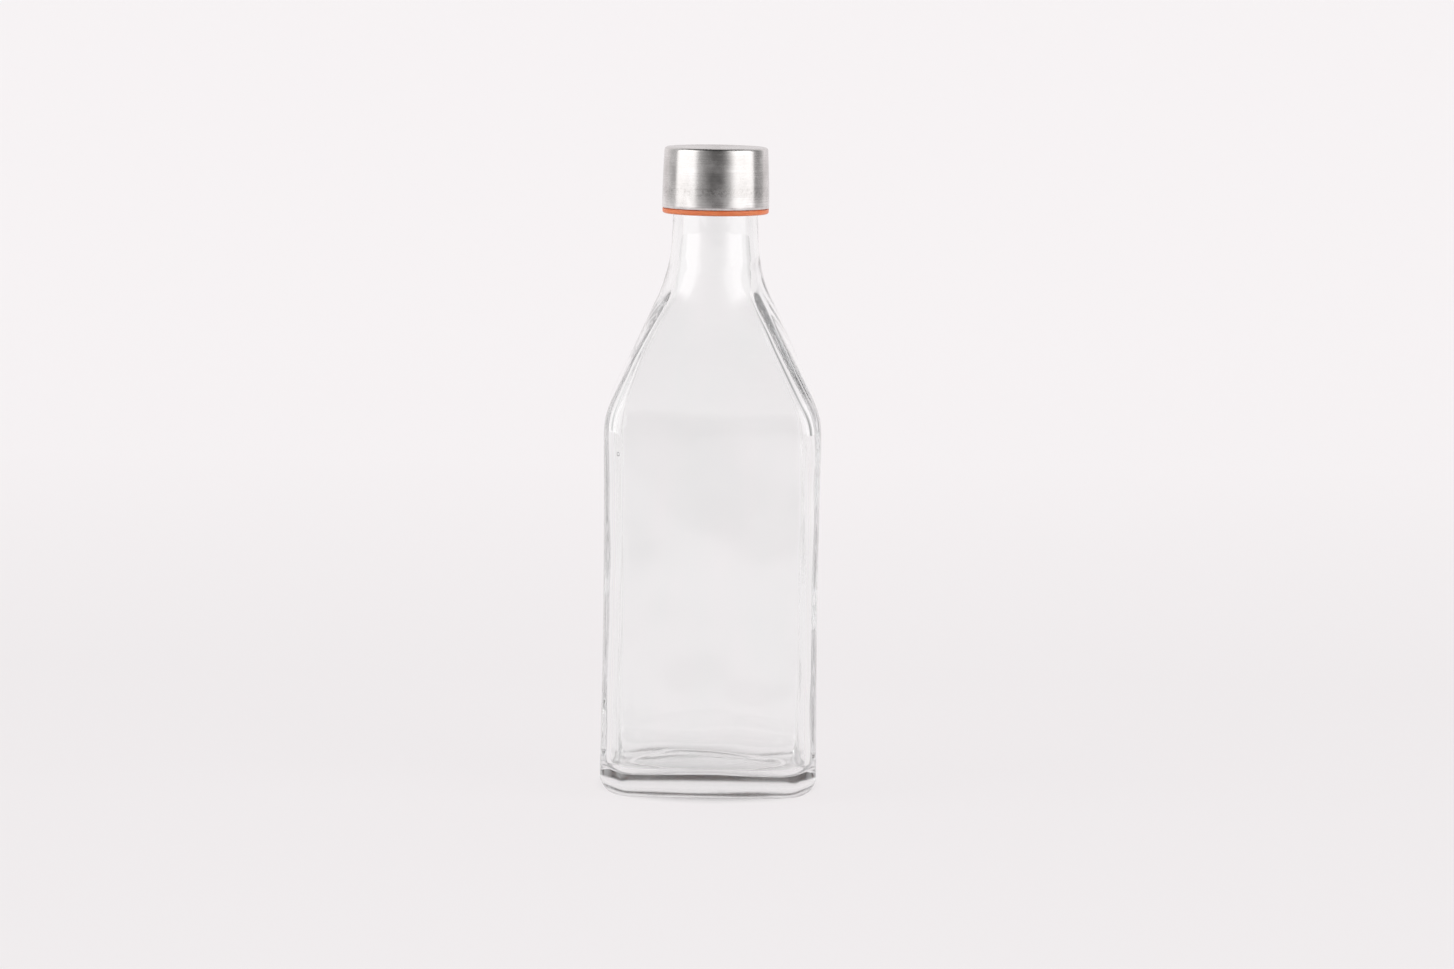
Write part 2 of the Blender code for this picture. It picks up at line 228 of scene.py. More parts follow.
def bottle_outside():
    """The mould's side of the glass: base, body, shoulder, neck and finish, up to the top of the rim."""
    bottle = square_face(FOOT_HALF, BODY_CORNER * FOOT_HALF / BODY_HALF, 0)
    mesh = bottle.data
    bpy.ops.mesh.flip_normals()
    # Two rings inside its edges keep the bearing flat when the skin is smoothed
    base = [(BEARING_RADIUS, 0), (BEARING_RADIUS - 0.002, 0), (HOLLOW_RADIUS + 0.001, 0)]
    for share in (0.97, 0.88, 0.72, 0.5, 0.28):
        base.append((HOLLOW_RADIUS * share, HOLLOW_HEIGHT * math.sqrt(1 - share ** 2)))
    bpy.ops.mesh.inset(thickness=0.0005)
    shape_loop(mesh, base[0][0], base[0][1], base[0][0])
    grow_loops(mesh, [(radius, height, radius) for radius, height in base[1:]])
    select_loop(mesh, 0, 0.0001)
    heel = arc(FOOT_HALF, HEEL_RADIUS, HEEL_RADIUS, -90, 0, 5)
    grow_loops(mesh, [(half, height, None) for half, height in heel])
    grow_loops(mesh, body_levels(0), 5)
    grow_loops(mesh, [(FINISH_RADIUS, height, FINISH_RADIUS) for height in finish_heights(19)])
    lip = arc(FINISH_RADIUS - LIP_RADIUS, RIM - LIP_RADIUS, LIP_RADIUS, 0, 90, 3)
    grow_loops(mesh, [(radius, height, radius) for radius, height in lip])
    bpy.ops.object.mode_set(mode="OBJECT")
    return bottle


def bottle_inside():
    """The free side of the glass: crowned floor, walls, shoulder and bore, up to the top of the rim."""
    wall_foot = FLOOR + INNER_HEEL
    skin = square_face(BODY_HALF - WALL, INNER_CORNER, wall_foot)
    mesh = skin.data
    select_loop(mesh, wall_foot)
    grow_loops(mesh, [level for level in body_levels(WALL) if level[1] > wall_foot + 0.002], 5)
    grow_loops(mesh, [(BORE_RADIUS, height, BORE_RADIUS) for height in finish_heights(6)])
    lip = arc(BORE_RADIUS + LIP_RADIUS, RIM - LIP_RADIUS, LIP_RADIUS, 180, 90, 3)
    grow_loops(mesh, [(radius, height, radius) for radius, height in lip])
    bpy.ops.mesh.select_all(action="DESELECT")
    bottom = min(bmesh.from_edit_mesh(mesh).faces, key=lambda face: face.calc_center_median().z)
    bottom.select_set(True)
    bmesh.update_edit_mesh(mesh)
    levels = []
    for half, height in arc(BODY_HALF - WALL - INNER_HEEL, wall_foot, INNER_HEEL, 0, -90, 6):
        share = (wall_foot - height) / INNER_HEEL
        levels.append((half, height, corner_diagonal(half, INNER_CORNER + FLOOR_ROUNDING * share)))
    floor_half = levels[-1][0]
    for share in (0.85, 0.6, 0.35):
        rise = FLOOR_CROWN * math.cos(math.pi / 2 * share) ** 2
        rounded = floor_half * share * (1.2 - share)
        levels.append((floor_half * share, FLOOR + rise, corner_diagonal(floor_half * share, rounded)))
    grow_loops(mesh, levels)
    bpy.ops.object.mode_set(mode="OBJECT")
    return skin


def thread_bump(along, turns, width):
    """Height of a rounded thread ridge from 0 to 1, at a distance along the axis from its middle."""
    fade = min(1.0, turns / THREAD_RUN_OUT, (THREAD_TURNS - turns) / THREAD_RUN_OUT)
    if fade <= 0:
        return 0.0
    share = abs(along) / (width / 2)
    return max(0.0, min(1.0, (THREAD_CREST + THREAD_FLANK - share) / THREAD_FLANK)) * math.sin(fade * math.pi / 2)


bpy.ops.object.select_all(action="DESELECT")
inside = bottle_inside()
bpy.ops.object.select_all(action="DESELECT")
bottle = bottle_outside()
inside.select_set(True)
bottle.select_set(True)
bpy.context.view_layer.objects.active = bottle
inside_marks = inside.vertex_groups.new(name="inside")
free_points = [vertex.index for vertex in inside.data.vertices if vertex.co.z < FINISH_BASE - CALM_NECK]
inside_marks.add(free_points, 1.0, "REPLACE")
bpy.ops.object.join()
bottle.name = bottle.data.name = "bottle_glass"
bpy.ops.object.mode_set(mode="EDIT")
select_loop(bottle.data, RIM)
bpy.ops.mesh.bridge_edge_loops()
bpy.ops.mesh.select_all(action="SELECT")
bpy.ops.mesh.normals_make_consistent(inside=False)
bpy.ops.object.mode_set(mode="OBJECT")
bpy.ops.object.transform_apply(location=True, rotation=True, scale=True)
smooth = bottle.modifiers.new("smooth", "SUBSURF")
smooth.levels = smooth.render_levels = 2
bpy.ops.object.modifier_apply(modifier="smooth")
waves = bpy.data.textures.new("inner_waves", "CLOUDS")
waves.noise_scale = WAVE_SPACING
waves.noise_depth = 1
wavy = bottle.modifiers.new("wavy", "DISPLACE")
wavy.texture = waves
wavy.texture_coords = "LOCAL"
wavy.vertex_group = "inside"
wavy.mid_level = 0.5
wavy.strength = WAVE_HEIGHT
bpy.ops.object.modifier_apply(modifier="wavy")
# What the smooth skin still lacks: the inside's drift, the lifted corners of the heel, the sunk flats (inside
# and outside, so that the wall keeps its thickness) and the thread
for vertex in bottle.data.vertices:
    place = vertex.co
    if vertex.groups and vertex.groups[0].weight > 0:
        rise = min(max((place.z - DRIFT_FROM) / (FINISH_BASE - DRIFT_FROM), 0), 1)
        place.x -= DRIFT * math.sin(math.pi * rise) * vertex.groups[0].weight
    across = max(abs(place.x), abs(place.y))
    aside = min(abs(place.x), abs(place.y))
    if place.z < HEEL_RADIUS:
        if math.hypot(place.x, place.y) > BEARING_RADIUS:
            turn = math.atan2(place.y, place.x)
            place.z += HEEL_LIFT * math.sin(2 * turn) ** 4 * (1 - place.z / HEEL_RADIUS)
    elif place.z < WALL_TOP and across > BODY_HALF * 0.8:
        flat = BODY_HALF - BODY_CORNER
        draw = math.sin(math.pi * (place.z - HEEL_RADIUS) / (WALL_TOP - HEEL_RADIUS)) ** 2
        sink = SINK * draw * (1 - min(aside / flat, 1) ** 2) ** 2
        if abs(place.x) > abs(place.y):
            place.x -= math.copysign(sink, place.x)
        else:
            place.y -= math.copysign(sink, place.y)
    radius = math.hypot(place.x, place.y)
    if place.z > FINISH_BASE and radius > FINISH_RADIUS - 0.0002:
        turn = math.atan2(place.y, place.x) / (2 * math.pi) % 1
        start = THREAD_TOP - PITCH * THREAD_TURNS
        for turns in [turn + lap for lap in range(THREAD_LAPS)]:
            bump = thread_bump(place.z - start - PITCH * turns, turns, THREAD_WIDTH)
            if bump > 0:
                push = 1 + THREAD_HEIGHT * bump / radius
                place.x *= push
                place.y *= push
                break
bottle.data.shade_smooth()
# A small bubble caught in the glass of the front left corner: a hollow, so its faces look inward
bpy.ops.mesh.primitive_uv_sphere_add(segments=24, ring_count=12, radius=BUBBLE_RADIUS)
bubble = bpy.context.object
bubble.scale = (1.0, 1.0, BUBBLE_STRETCH)
bubble.location = BUBBLE_PLACE
bpy.ops.object.transform_apply(location=True, rotation=True, scale=True)
bpy.ops.object.mode_set(mode="EDIT")
bpy.ops.mesh.select_all(action="SELECT")
bpy.ops.mesh.flip_normals()
bpy.ops.object.mode_set(mode="OBJECT")
bubble.data.shade_smooth()
bottle.select_set(True)
bpy.context.view_layer.objects.active = bottle
bpy.ops.object.join()

# Clear glass with a breath of green, faint cords in it and a thin film on it
glass = bpy.data.materials.new("clear_glass")
glass.use_nodes = True
nodes, links = glass.node_tree.nodes, glass.node_tree.links
shader = nodes["Principled BSDF"]
shader.inputs["IOR"].default_value = 1.52
shader.inputs["Transmission Weight"].default_value = 1.0
place = nodes.new("ShaderNodeTexCoord")
streaks = nodes.new("ShaderNodeMapping")
streaks.inputs["Scale"].default_value = (60, 60, 18)
links.new(place.outputs["Object"], streaks.inputs["Vector"])
cords = nodes.new("ShaderNodeTexNoise")
cords.inputs["Scale"].default_value = 1.0
cords.inputs["Detail"].default_value = 3.0
links.new(streaks.outputs[0], cords.inputs["Vector"])
tint = nodes.new("ShaderNodeValToRGB")
for element, (level, colour) in zip(tint.color_ramp.elements, (
    (0.35, (0.985, 0.995, 0.992, 1)), (0.65, (1.0, 1.0, 1.0, 1)),
)):
    element.position, element.color = level, colour
links.new(cords.outputs["Fac"], tint.inputs["Fac"])
links.new(tint.outputs["Color"], shader.inputs["Base Color"])
film = nodes.new("ShaderNodeMapRange")
film.inputs["From Min"].default_value = 0.35
film.inputs["From Max"].default_value = 0.70
film.inputs["To Min"].default_value = 0.01
film.inputs["To Max"].default_value = 0.035
links.new(cords.outputs["Fac"], film.inputs["Value"])
# The foot is dulled by the cooler bottom of the mould and by standing and sliding
FOOT_CLEAR = 0.014
FOOT_DULL = 0.004
FOOT_ROUGHNESS = 0.16
glass_axes = nodes.new("ShaderNodeSeparateXYZ")
links.new(place.outputs["Object"], glass_axes.inputs[0])
foot = nodes.new("ShaderNodeMapRange")
foot.inputs["From Min"].default_value = FOOT_CLEAR
foot.inputs["From Max"].default_value = FOOT_DULL
foot.inputs["To Max"].default_value = FOOT_ROUGHNESS
links.new(glass_axes.outputs["Z"], foot.inputs["Value"])
dulled = nodes.new("ShaderNodeMath")
dulled.operation = "ADD"
links.new(film.outputs[0], dulled.inputs[0])
links.new(foot.outputs[0], dulled.inputs[1])
links.new(dulled.outputs[0], shader.inputs["Roughness"])
body = nodes.new("ShaderNodeVolumeAbsorption")
body.inputs["Color"].default_value = (0.5, 0.505, 0.505, 1)
body.inputs["Density"].default_value = 2.4
links.new(body.outputs[0], nodes["Material Output"].inputs["Volume"])
bottle.data.materials.clear()
bottle.data.materials.append(glass)
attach(bottle, "bottle")
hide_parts("glass_bottle")

# The cap's steel shell. A cup drawn from thin stainless sheet, its side brushed round and round and its edge
# left plain. It is pressed over the plastic insert and stands on the insert's flange.
shell_low, shell_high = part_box("cap_shell")
CAP_TOP, CAP_BOTTOM = shell_high.z, shell_low.z
CAP_RADIUS = shell_high.x
CAP_FACETS = 128
SHEET = 0.0006
SHELL_EDGE = 0.0012                 # radius between the top and the side
SHELL_TAPER = 0.0007
POLE_RADIUS = 0.006                 # of the face that closes a turned piece in its middle
TOP_RING = 0.012
TOP_DISH = 0.0001                   # how far the top is dished in the middle


def side_radius(height):
    """The shell closes in a little towards its top."""
    share = min(max((height - CAP_BOTTOM) / (CAP_TOP - SHELL_EDGE - CAP_BOTTOM), 0), 1)
    return CAP_RADIUS - SHELL_TAPER * share ** 2


def start_disc(name, radius, height, facets):
    """A round face at a height, in edit mode with its rim selected, as the start of a turned piece."""
    bpy.ops.object.select_all(action="DESELECT")
    bpy.ops.mesh.primitive_circle_add(vertices=facets, radius=radius, fill_type="NGON")
    piece = bpy.context.object
    piece.name = piece.data.name = name
    bpy.ops.object.mode_set(mode="EDIT")
    bpy.ops.mesh.select_all(action="SELECT")
    bpy.ops.transform.translate(value=(0, 0, height))
    select_loop(piece.data, height)
    return piece


def close_piece(piece):
    """Fills the last loop, turns all faces outward and leaves edit mode."""
    bpy.ops.mesh.edge_face_add()
    bpy.ops.mesh.select_all(action="SELECT")
    bpy.ops.mesh.normals_make_consistent(inside=False)
    bpy.ops.object.mode_set(mode="OBJECT")
    piece.data.shade_smooth()


def turned(points):
    """Levels for grow_loops from (radius, height) points."""
    return [(radius, height, None) for radius, height in points]


shell = start_disc("steel_shell", POLE_RADIUS, CAP_TOP - TOP_DISH, CAP_FACETS)
edge_height = CAP_TOP - SHELL_EDGE
edge_radius = side_radius(edge_height) - SHELL_EDGE
outside = [(TOP_RING, CAP_TOP - TOP_DISH * 0.6), (edge_radius - 0.001, CAP_TOP - TOP_DISH * 0.1)]
outside += [(edge_radius, CAP_TOP)]
outside += arc(edge_radius, edge_height, SHELL_EDGE, 90, 0, 8)
side = [edge_height + (CAP_BOTTOM - edge_height) * share for share in (0.05, 0.2, 0.4, 0.6, 0.8, 0.95)]
outside += [(side_radius(height), height) for height in side]
hem = SHEET / 2
outside += arc(CAP_RADIUS - hem, CAP_BOTTOM + hem, hem, 0, -180, 6)
outside += [(side_radius(height) - SHEET, height) for height in reversed(side[:-1])]
outside += [(side_radius(edge_height) - SHEET, edge_height)]
outside += arc(edge_radius, edge_height, SHELL_EDGE - SHEET, 0, 90, 5)
outside += [(TOP_RING, CAP_TOP - SHEET - TOP_DISH * 0.6), (POLE_RADIUS, CAP_TOP - SHEET - TOP_DISH)]
grow_loops(shell.data, turned(outside))
close_piece(shell)

steel = bpy.data.materials.new("brushed_steel")
steel.use_nodes = True
nodes, links = steel.node_tree.nodes, steel.node_tree.links
shader = nodes["Principled BSDF"]
shader.inputs["Metallic"].default_value = 1.0
shader.inputs["Anisotropic"].default_value = 0.7
shader.inputs["Anisotropic Rotation"].default_value = 0.25
place = nodes.new("ShaderNodeTexCoord")
# Fine brush lines run round the cap, so they change quickly with height and slowly round it
grain = nodes.new("ShaderNodeMapping")
grain.inputs["Scale"].default_value = (35, 35, 4500)
links.new(place.outputs["Object"], grain.inputs["Vector"])
brush = nodes.new("ShaderNodeTexNoise")
brush.inputs["Scale"].default_value = 1.0
brush.inputs["Detail"].default_value = 4.0
links.new(grain.outputs[0], brush.inputs["Vector"])
# Broader clouds of handling
wear = nodes.new("ShaderNodeTexNoise")
wear.inputs["Scale"].default_value = 160.0
wear.inputs["Detail"].default_value = 5.0
links.new(place.outputs["Object"], wear.inputs["Vector"])
BRUSHED = 0.55                      # how much the brush lines count beside the clouds
clouded = nodes.new("ShaderNodeMath")
clouded.operation = "MULTIPLY_ADD"
clouded.inputs[1].default_value = BRUSHED
links.new(brush.outputs["Fac"], clouded.inputs[0])
links.new(wear.outputs["Fac"], clouded.inputs[2])
# The side is painted paler towards the hem, a painted sheen for the softboxes' light blurred down the side, and
# made rougher there too; above that lies a belt of small dark scuffs
PAINTED_SHEEN_FROM = CAP_BOTTOM + 0.0060
PAINTED_SHEEN_TO = CAP_BOTTOM + 0.0020
PAINTED_SHEEN = 0.14
SCUFF_HEIGHT = CAP_BOTTOM + 0.0072
SCUFF_REACH = 0.0026                # up and down from the middle of the belt
SCUFF = -0.24
cap_axes = nodes.new("ShaderNodeSeparateXYZ")
links.new(place.outputs["Object"], cap_axes.inputs[0])
# Painted sheen: the steel's colour gets paler and its roughness rises towards the hem
painted_sheen = nodes.new("ShaderNodeMapRange")
painted_sheen.inputs["From Min"].default_value = PAINTED_SHEEN_FROM
painted_sheen.inputs["From Max"].default_value = PAINTED_SHEEN_TO
painted_sheen.inputs["To Max"].default_value = PAINTED_SHEEN
links.new(cap_axes.outputs["Z"], painted_sheen.inputs["Value"])
aside = nodes.new("ShaderNodeMath")
aside.operation = "SUBTRACT"
aside.inputs[1].default_value = SCUFF_HEIGHT
links.new(cap_axes.outputs["Z"], aside.inputs[0])
away = nodes.new("ShaderNodeMath")
away.operation = "ABSOLUTE"
links.new(aside.outputs[0], away.inputs[0])
belt = nodes.new("ShaderNodeMapRange")
belt.inputs["From Min"].default_value = SCUFF_REACH
belt.inputs["From Max"].default_value = 0.0
belt.inputs["To Max"].default_value = SCUFF
links.new(away.outputs[0], belt.inputs["Value"])
spots = nodes.new("ShaderNodeTexNoise")
spots.inputs["Scale"].default_value = 900.0
spots.inputs["Detail"].default_value = 2.0
links.new(place.outputs["Object"], spots.inputs["Vector"])
marked = nodes.new("ShaderNodeMapRange")
marked.inputs["From Min"].default_value = 0.46
marked.inputs["From Max"].default_value = 0.60
links.new(spots.outputs["Fac"], marked.inputs["Value"])
paler = nodes.new("ShaderNodeMath")
paler.operation = "ADD"
links.new(clouded.outputs[0], paler.inputs[0])
links.new(painted_sheen.outputs[0], paler.inputs[1])
spread = nodes.new("ShaderNodeMath")
spread.operation = "MULTIPLY_ADD"
links.new(belt.outputs[0], spread.inputs[0])
links.new(marked.outputs[0], spread.inputs[1])
links.new(paler.outputs[0], spread.inputs[2])
metal = nodes.new("ShaderNodeValToRGB")
steps = (
    (0.15, (0.20, 0.19, 0.185, 1)), (0.55, (0.54, 0.52, 0.51, 1)), (0.90, (0.68, 0.66, 0.65, 1)),
    (1.0, (0.80, 0.78, 0.77, 1)),
)
while len(metal.color_ramp.elements) < len(steps):
    metal.color_ramp.elements.new(0.5)
for element, (level, colour) in zip(metal.color_ramp.elements, steps):
    element.position, element.color = level, colour
links.new(spread.outputs[0], metal.inputs["Fac"])
links.new(metal.outputs["Color"], shader.inputs["Base Color"])
rough = nodes.new("ShaderNodeMapRange")
rough.inputs["From Min"].default_value = 0.55
rough.inputs["From Max"].default_value = 1.0
rough.inputs["To Min"].default_value = 0.19
rough.inputs["To Max"].default_value = 0.33
links.new(spread.outputs[0], rough.inputs["Value"])
links.new(rough.outputs[0], shader.inputs["Roughness"])
lines = nodes.new("ShaderNodeBump")
lines.inputs["Strength"].default_value = 0.12
lines.inputs["Distance"].default_value = 0.00003
links.new(brush.outputs["Fac"], lines.inputs["Height"])
links.new(lines.outputs[0], shader.inputs["Normal"])
tangent = nodes.new("ShaderNodeTangent")
tangent.direction_type = "RADIAL"
tangent.axis = "Z"
links.new(tangent.outputs[0], shader.inputs["Tangent"])
shell.data.materials.clear()
shell.data.materials.append(steel)
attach(shell, "cap")
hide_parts("cap_shell")

# The cap's plastic insert. One moulding in orange plastic: a roof, a skirt with the screw thread inside, and
# the flange that shows as an orange line below the steel.
insert_low, insert_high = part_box("thread_insert")
INSERT_TOP, INSERT_BOTTOM = insert_high.z, insert_low.z
FLANGE_RADIUS = insert_high.x
FLANGE_HEIGHT = 0.0020
FLANGE_EDGE = 0.0010
FLANGE_TOP_EDGE = 0.0002
SKIRT_BORE = 0.01905
SKIRT_CHAMFER = 0.0006              # at the mouth of the skirt
ROOF = 0.0015
ROOF_BOTTOM = INSERT_TOP - ROOF
ROOF_FILLET = 0.0003
INSERT_EDGE = 0.0012
INSERT_GAP = SHEET + 0.0003         # between the outsides of the steel and of the skirt
INSERT_THREAD_HEIGHT = 0.0013
INSERT_THREAD_WIDTH = 0.0015
INSERT_THREAD_DROP = 0.5            # turns that it starts below the thread of the glass
BORE_RINGS = 48
insert = start_disc("orange_insert", POLE_RADIUS, INSERT_TOP, CAP_FACETS)
edge_height = INSERT_TOP - INSERT_EDGE
edge_radius = side_radius(edge_height) - INSERT_GAP - INSERT_EDGE
profile = [(TOP_RING, INSERT_TOP), (edge_radius, INSERT_TOP)]
profile += arc(edge_radius, edge_height, INSERT_EDGE, 90, 0, 4)
flange_top = INSERT_BOTTOM + FLANGE_HEIGHT
for share in (0.25, 0.5, 0.75):
    height = edge_height + (flange_top - edge_height) * share
    profile.append((side_radius(height) - INSERT_GAP, height))
profile += [(CAP_RADIUS - INSERT_GAP, flange_top + 0.0001), (CAP_RADIUS - INSERT_GAP + 0.0001, flange_top)]
profile += arc(FLANGE_RADIUS - FLANGE_TOP_EDGE, flange_top - FLANGE_TOP_EDGE, FLANGE_TOP_EDGE, 90, 0, 3)
profile += arc(FLANGE_RADIUS - FLANGE_EDGE, INSERT_BOTTOM + FLANGE_EDGE, FLANGE_EDGE, 0, -90, 6)
profile += [(SKIRT_BORE + SKIRT_CHAMFER, INSERT_BOTTOM), (SKIRT_BORE, INSERT_BOTTOM + SKIRT_CHAMFER)]
bore_top = ROOF_BOTTOM - ROOF_FILLET
for step in range(1, BORE_RINGS + 1):
    rise = (bore_top - INSERT_BOTTOM - SKIRT_CHAMFER) * step / BORE_RINGS
    profile.append((SKIRT_BORE, INSERT_BOTTOM + SKIRT_CHAMFER + rise))
profile += arc(SKIRT_BORE - ROOF_FILLET, bore_top, ROOF_FILLET, 0, 90, 2)
profile += [(0.015, ROOF_BOTTOM), (POLE_RADIUS, ROOF_BOTTOM)]
grow_loops(insert.data, turned(profile))
close_piece(insert)
for vertex in insert.data.vertices:
    place = vertex.co
    radius = math.hypot(place.x, place.y)
    if radius < SKIRT_BORE + 0.0001 and INSERT_BOTTOM + 0.0008 < place.z < bore_top:
        turn = math.atan2(place.y, place.x) / (2 * math.pi) % 1
        start = THREAD_TOP - PITCH * (THREAD_TURNS + INSERT_THREAD_DROP)
        for turns in [turn + lap for lap in range(THREAD_LAPS)]:
            bump = thread_bump(place.z - start - PITCH * turns, turns, INSERT_THREAD_WIDTH)
            if bump > 0:
                push = 1 - INSERT_THREAD_HEIGHT * bump / radius
                place.x *= push
                place.y *= push
                break

orange = bpy.data.materials.new("orange_plastic")
orange.use_nodes = True
nodes, links = orange.node_tree.nodes, orange.node_tree.links
shader = nodes["Principled BSDF"]
place = nodes.new("ShaderNodeTexCoord")
flow = nodes.new("ShaderNodeTexNoise")
flow.inputs["Scale"].default_value = 220.0
flow.inputs["Detail"].default_value = 4.0
links.new(place.outputs["Object"], flow.inputs["Vector"])
dye = nodes.new("ShaderNodeValToRGB")
for element, (level, colour) in zip(dye.color_ramp.elements, (
    (0.35, (0.97, 0.235, 0.083, 1)), (0.65, (1.0, 0.290, 0.11, 1)),
)):
    element.position, element.color = level, colour
links.new(flow.outputs["Fac"], dye.inputs["Fac"])
links.new(dye.outputs["Color"], shader.inputs["Base Color"])
satin = nodes.new("ShaderNodeMapRange")
satin.inputs["To Min"].default_value = 0.30
satin.inputs["To Max"].default_value = 0.46
links.new(flow.outputs["Fac"], satin.inputs["Value"])
links.new(satin.outputs[0], shader.inputs["Roughness"])
skin_grain = nodes.new("ShaderNodeBump")
skin_grain.inputs["Strength"].default_value = 0.1
skin_grain.inputs["Distance"].default_value = 0.00005
links.new(flow.outputs["Fac"], skin_grain.inputs["Height"])
links.new(skin_grain.outputs[0], shader.inputs["Normal"])
insert.data.materials.clear()
insert.data.materials.append(orange)
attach(insert, "cap")
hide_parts("thread_insert")

# The sealing disc. Stamped from white silicone sheet and laid loose in the roof of the insert; the rim has
# pressed a shallow ring into its lower side.
disc_low, disc_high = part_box("sealing_disc")
DISC_TOP, DISC_BOTTOM = disc_high.z, disc_low.z
DISC_RADIUS = disc_high.x
DISC_EDGE = 0.0002
DISC_FACETS = 96
PRESSED_RING = (                    # radius and depth across the mark of the rim
    (0.0178, 0), (0.0172, 0.00015), (0.0157, 0.0002), (0.0142, 0.00015), (0.0136, 0),
)
disc = start_disc("silicone_disc", POLE_RADIUS, DISC_TOP, DISC_FACETS)
profile = [(TOP_RING, DISC_TOP), (DISC_RADIUS - DISC_EDGE, DISC_TOP)]
profile += arc(DISC_RADIUS - DISC_EDGE, DISC_TOP - DISC_EDGE, DISC_EDGE, 90, 0, 3)
profile += arc(DISC_RADIUS - DISC_EDGE, DISC_BOTTOM + DISC_EDGE, DISC_EDGE, 0, -90, 3)
profile += [(radius, DISC_BOTTOM + depth) for radius, depth in PRESSED_RING] + [(POLE_RADIUS, DISC_BOTTOM)]
grow_loops(disc.data, turned(profile))
close_piece(disc)

silicone = bpy.data.materials.new("white_silicone")
silicone.use_nodes = True
nodes, links = silicone.node_tree.nodes, silicone.node_tree.links
shader = nodes["Principled BSDF"]
shader.inputs["Subsurface Weight"].default_value = 0.15
shader.inputs["Subsurface Scale"].default_value = 0.001
place = nodes.new("ShaderNodeTexCoord")
bloom = nodes.new("ShaderNodeTexNoise")
bloom.inputs["Scale"].default_value = 300.0
bloom.inputs["Detail"].default_value = 3.0
links.new(place.outputs["Object"], bloom.inputs["Vector"])
milk = nodes.new("ShaderNodeValToRGB")
for element, (level, colour) in zip(milk.color_ramp.elements, (
    (0.3, (0.80, 0.80, 0.78, 1)), (0.7, (0.87, 0.87, 0.85, 1)),
)):
    element.position, element.color = level, colour
links.new(bloom.outputs["Fac"], milk.inputs["Fac"])
links.new(milk.outputs["Color"], shader.inputs["Base Color"])
matt = nodes.new("ShaderNodeMapRange")
matt.inputs["To Min"].default_value = 0.42
matt.inputs["To Max"].default_value = 0.60
links.new(bloom.outputs["Fac"], matt.inputs["Value"])
links.new(matt.outputs[0], shader.inputs["Roughness"])
disc.data.materials.clear()
disc.data.materials.append(silicone)
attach(disc, "seal")
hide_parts("sealing_disc")

# The studio: a pale paper sweep that runs from the table up the wall, two tall softboxes beside the camera and
# a darker room behind it and overhead.
SWEEP_WIDTH, SWEEP_DEPTH = 6, 3.4
SWEEP_BEND = 0.5                    # radius between table and wall
SWEEP_STEPS = 12
SWEEP_WALL = 2.0
bpy.ops.object.select_all(action="DESELECT")
bpy.ops.mesh.primitive_plane_add(size=1)
sweep = bpy.context.object
sweep.name = "sweep"
sweep.scale = (SWEEP_WIDTH, SWEEP_DEPTH, 1)
bpy.ops.object.transform_apply(location=True, rotation=True, scale=True)
bpy.ops.object.mode_set(mode="EDIT")
bpy.ops.mesh.select_all(action="DESELECT")
shape = bmesh.from_edit_mesh(sweep.data)
for edge in shape.edges:
    if all(v.co.y > 0 for v in edge.verts):
        edge.select_set(True)
bmesh.update_edit_mesh(sweep.data)
turns = [math.radians(90 * step / SWEEP_STEPS) for step in range(SWEEP_STEPS + 1)]
for before, after in zip(turns, turns[1:]):
    bpy.ops.mesh.extrude_region_move()
    out = SWEEP_BEND * (math.sin(after) - math.sin(before))
    rise = SWEEP_BEND * (math.cos(before) - math.cos(after))
    bpy.ops.transform.translate(value=(0, out, rise))
bpy.ops.mesh.extrude_region_move()
bpy.ops.transform.translate(value=(0, 0, SWEEP_WALL))
bpy.ops.object.mode_set(mode="OBJECT")
sweep.data.shade_smooth()

# Pale paper. Seen by the camera or in the glass and the steel it glows, with painted shade by its place from the
# near edge to the wall, darkest at the near edge, mixed with the room's light and the bottle's shadow on it.
PAPER_NEAR = -1.4                   # where the tones start
PAPER_REACH = 3.6
# Glow of the paper by its place, (place, level): painted shade, darkest at the near edge and lighter towards the
# wall
PAPER_PAINTED_SHADE = ((-1.4, 0.20), (-0.42, 0.915), (0.3, 0.90), (1.2, 0.955), (2.0, 0.958))
PAPER_TINT = (1, 0.965, 0.975)
paper = bpy.data.materials.new("paper")
paper.use_nodes = True
nodes, links = paper.node_tree.nodes, paper.node_tree.links
nodes.clear()
surface = nodes.new("ShaderNodeOutputMaterial")
lit = nodes.new("ShaderNodeBsdfDiffuse")
lit.inputs["Color"].default_value = (0.90, 0.885, 0.89, 1)
glow = nodes.new("ShaderNodeEmission")
place = nodes.new("ShaderNodeTexCoord")
axes = nodes.new("ShaderNodeSeparateXYZ")
links.new(place.outputs["Object"], axes.inputs[0])
depth = nodes.new("ShaderNodeMapRange")
depth.inputs["From Min"].default_value = PAPER_NEAR
depth.inputs["From Max"].default_value = PAPER_NEAR + PAPER_REACH
links.new(axes.outputs["Y"], depth.inputs["Value"])
shaded_glow = nodes.new("ShaderNodeValToRGB")
while len(shaded_glow.color_ramp.elements) < len(PAPER_PAINTED_SHADE):
    shaded_glow.color_ramp.elements.new(0.5)
for element, (y, level) in zip(shaded_glow.color_ramp.elements, PAPER_PAINTED_SHADE):
    element.position = (y - PAPER_NEAR) / PAPER_REACH
    element.color = (*[level * share for share in PAPER_TINT], 1)
links.new(depth.outputs[0], shaded_glow.inputs["Fac"])
links.new(shaded_glow.outputs["Color"], glow.inputs["Color"])
path = nodes.new("ShaderNodeLightPath")
direct = nodes.new("ShaderNodeMath")
direct.operation = "MAXIMUM"
